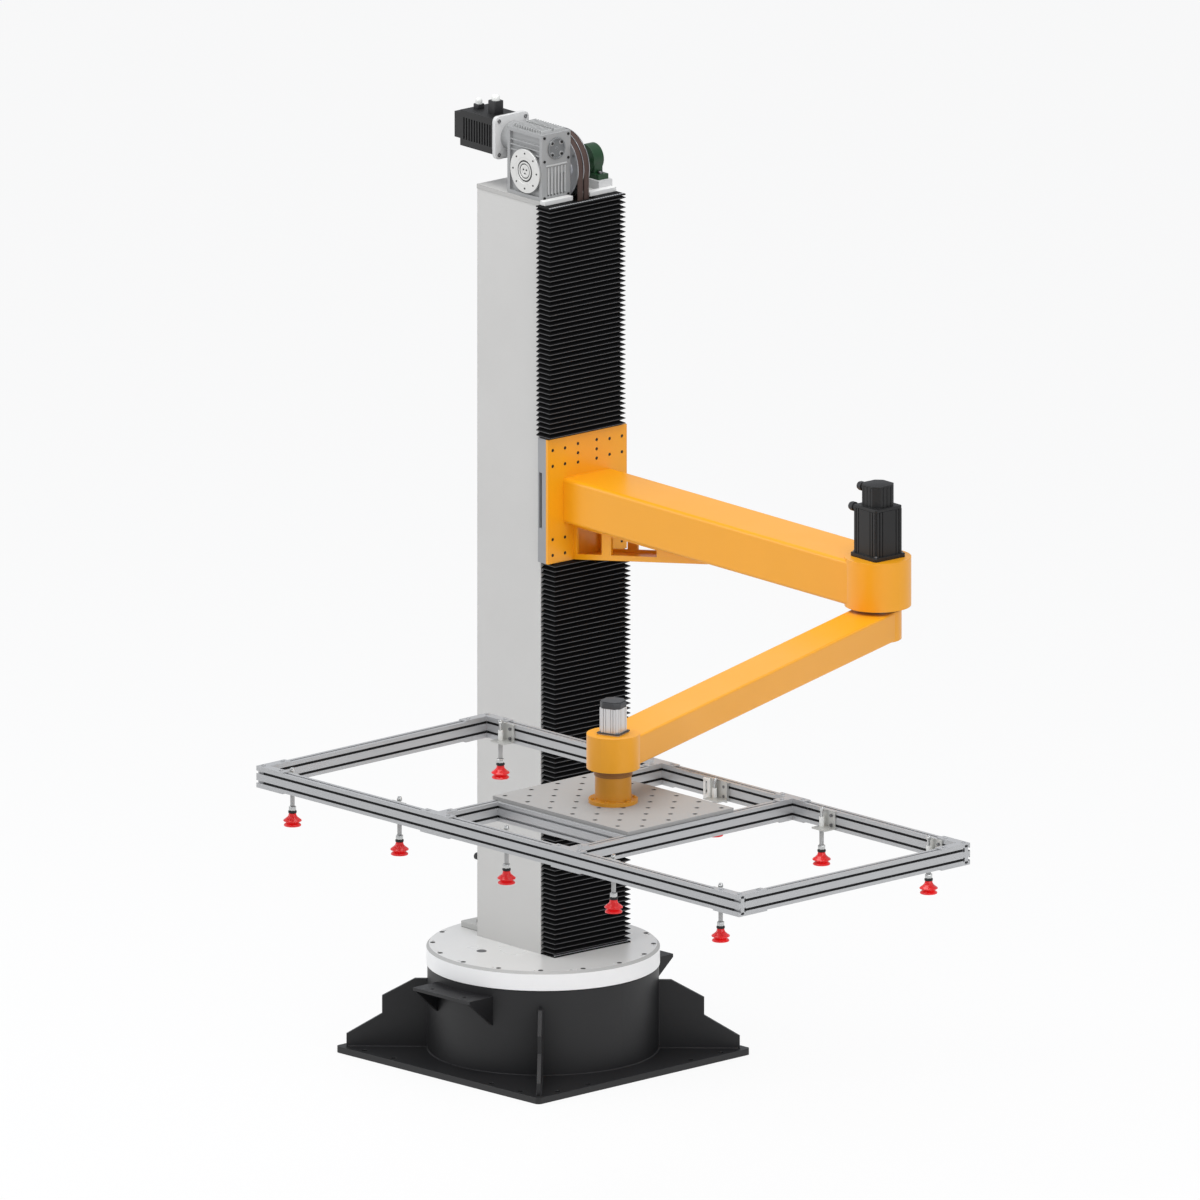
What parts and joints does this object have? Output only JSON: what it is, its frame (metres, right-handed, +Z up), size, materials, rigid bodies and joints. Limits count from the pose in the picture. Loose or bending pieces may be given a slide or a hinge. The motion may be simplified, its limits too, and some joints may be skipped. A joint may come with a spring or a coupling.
{
  "type": "board loading robot",
  "caption": "Floor-standing column robot with a turntable, a belt-lifted carriage, a two-link horizontal arm and a vacuum cup frame for loading boards.",
  "frame": {"origin": "centre of the base plate's underside, on the turntable axis and on the floor", "axes": "+Z up, +X and +Y along the base plate's edges, +X the way that the main arm points at rest, within 3.3 degrees"},
  "size_m": [3.6456, 2.6586, 3],
  "materials": {
    "black_paint": "semi-gloss black paint",
    "pale_paint": "pale grey paint",
    "column_paint": "light grey paint",
    "orange_paint": "orange powder coat",
    "dark_metal": "black anodised or painted metal",
    "plain_steel": "plain ground steel",
    "aluminium": "anodised aluminium",
    "bellows_cloth": "black coated bellows cloth",
    "belt_rubber": "brown flat belt",
    "gearbox_grey": "grey cast aluminium",
    "green_casting": "dark green paint on cast iron",
    "black_plastic": "moulded black plastic",
    "white_plastic": "white plastic bush",
    "cup_rubber": "red silicone rubber"
  },
  "bodies": {
    "base": {"base_plate": "black_paint", "base_drum": "black_paint", "drum_gussets": "black_paint", "side_shelves": "black_paint", "slew_outer_race": "plain_steel", "slew_gearmotor": "dark_metal"},
    "turntable": {"turntable": "pale_paint", "slew_inner_race": "plain_steel", "slew_hub": "plain_steel", "column": "column_paint", "column_foot": "dark_metal", "guide_rails": "plain_steel", "upper_bellows": "bellows_cloth", "lower_bellows": "bellows_cloth", "bellows_end_plates": "aluminium", "lift_belts": "belt_rubber", "idler_shaft": "plain_steel", "lift_gearbox": "gearbox_grey", "gearbox_covers": "aluminium", "motor_adapter": "gearbox_grey", "lift_motor": "dark_metal", "motor_plugs": "black_plastic", "bearing_riser": "aluminium", "pillow_block": "green_casting"},
    "drive_pulley": {"drive_pulley": "aluminium", "drive_shaft": "plain_steel"},
    "idler_pulley": {"idler_pulley": "aluminium"},
    "carriage": {"guide_blocks": "plain_steel", "carriage_channel": "dark_metal", "carriage_plate": "orange_paint", "carriage_screws": "plain_steel", "belt_clamp": "aluminium", "main_arm": "orange_paint", "arm_bracket": "orange_paint", "elbow_reducer": "plain_steel", "elbow_motor": "dark_metal", "elbow_connectors": "black_plastic"},
    "forearm": {"forearm": "orange_paint", "elbow_hub": "plain_steel", "wrist_reducer": "plain_steel", "wrist_motor": "aluminium", "wrist_motor_cap": "dark_metal"},
    "tool_frame": {"wrist_spindle": "orange_paint", "tool_plate": "aluminium", "outer_rails": "aluminium", "inner_bars": "aluminium", "joining_plates": "aluminium", "cup_brackets": "plain_steel", "bracket_screws": "plain_steel", "stem_bushes": "white_plastic"},
    "cup_stem_01": {"suction_cup_01": "cup_rubber"},
    "cup_stem_02": {"suction_cup_02": "cup_rubber"},
    "cup_stem_03": {"suction_cup_03": "cup_rubber"},
    "cup_stem_04": {"suction_cup_04": "cup_rubber"},
    "cup_stem_05": {"suction_cup_05": "cup_rubber"},
    "cup_stem_06": {"suction_cup_06": "cup_rubber"},
    "cup_stem_07": {"suction_cup_07": "cup_rubber"},
    "cup_stem_08": {"suction_cup_08": "cup_rubber"},
    "cup_stem_09": {"suction_cup_09": "cup_rubber"},
    "cup_stem_10": {"suction_cup_10": "cup_rubber"}
  },
  "joints": [
    {"name": "turntable_spin", "type": "hinge", "parent": "base", "child": "turntable", "pos_m": [0, 0, 0.288], "axis": [0, 0, 1], "range_deg": [-170, 170]},
    {"name": "carriage_lift", "type": "slide", "parent": "turntable", "child": "carriage", "axis": [0, 0, 1], "range_m": [-0.7, 0.4], "deforming": ["upper_bellows", "lower_bellows"]},
    {"name": "drive_pulley_spin", "type": "hinge", "parent": "turntable", "child": "drive_pulley", "pos_m": [0.02975, 0.04686, 2.808], "axis": [0.0576, 0.9983, 0], "range_deg": [-220, 385]},
    {"name": "idler_pulley_spin", "type": "hinge", "parent": "turntable", "child": "idler_pulley", "pos_m": [0.02975, 0.04686, 0.498], "axis": [0.0576, 0.9983, 0], "range_deg": [-220, 385]},
    {"name": "elbow_turn", "type": "hinge", "parent": "carriage", "child": "forearm", "pos_m": [1.52357, -0.03927, 1.7], "axis": [0, 0, 1], "range_deg": [-55, 190]},
    {"name": "wrist_turn", "type": "hinge", "parent": "forearm", "child": "tool_frame", "pos_m": [2.09839, -1.70867, 1.596], "axis": [0, 0, 1], "range_deg": [-180, 180]},
    {"name": "cup_01_travel", "type": "slide", "parent": "tool_frame", "child": "cup_stem_01", "axis": [0, 0, 1], "range_m": [0, 0.025], "stiffness_N_per_m": 400, "springref_m": -0.015},
    {"name": "cup_02_travel", "type": "slide", "parent": "tool_frame", "child": "cup_stem_02", "axis": [0, 0, 1], "range_m": [0, 0.025], "stiffness_N_per_m": 400, "springref_m": -0.015},
    {"name": "cup_03_travel", "type": "slide", "parent": "tool_frame", "child": "cup_stem_03", "axis": [0, 0, 1], "range_m": [0, 0.025], "stiffness_N_per_m": 400, "springref_m": -0.015},
    {"name": "cup_04_travel", "type": "slide", "parent": "tool_frame", "child": "cup_stem_04", "axis": [0, 0, 1], "range_m": [0, 0.025], "stiffness_N_per_m": 400, "springref_m": -0.015},
    {"name": "cup_05_travel", "type": "slide", "parent": "tool_frame", "child": "cup_stem_05", "axis": [0, 0, 1], "range_m": [0, 0.025], "stiffness_N_per_m": 400, "springref_m": -0.015},
    {"name": "cup_06_travel", "type": "slide", "parent": "tool_frame", "child": "cup_stem_06", "axis": [0, 0, 1], "range_m": [0, 0.025], "stiffness_N_per_m": 400, "springref_m": -0.015},
    {"name": "cup_07_travel", "type": "slide", "parent": "tool_frame", "child": "cup_stem_07", "axis": [0, 0, 1], "range_m": [0, 0.025], "stiffness_N_per_m": 400, "springref_m": -0.015},
    {"name": "cup_08_travel", "type": "slide", "parent": "tool_frame", "child": "cup_stem_08", "axis": [0, 0, 1], "range_m": [0, 0.025], "stiffness_N_per_m": 400, "springref_m": -0.015},
    {"name": "cup_09_travel", "type": "slide", "parent": "tool_frame", "child": "cup_stem_09", "axis": [0, 0, 1], "range_m": [0, 0.025], "stiffness_N_per_m": 400, "springref_m": -0.015},
    {"name": "cup_10_travel", "type": "slide", "parent": "tool_frame", "child": "cup_stem_10", "axis": [0, 0, 1], "range_m": [0, 0.025], "stiffness_N_per_m": 400, "springref_m": -0.015}
  ],
  "couplings": [
    {"joint": "drive_pulley_spin", "follows": "carriage_lift", "rad_per_m": -9.5694},
    {"joint": "idler_pulley_spin", "follows": "carriage_lift", "rad_per_m": -9.5694}
  ]
}
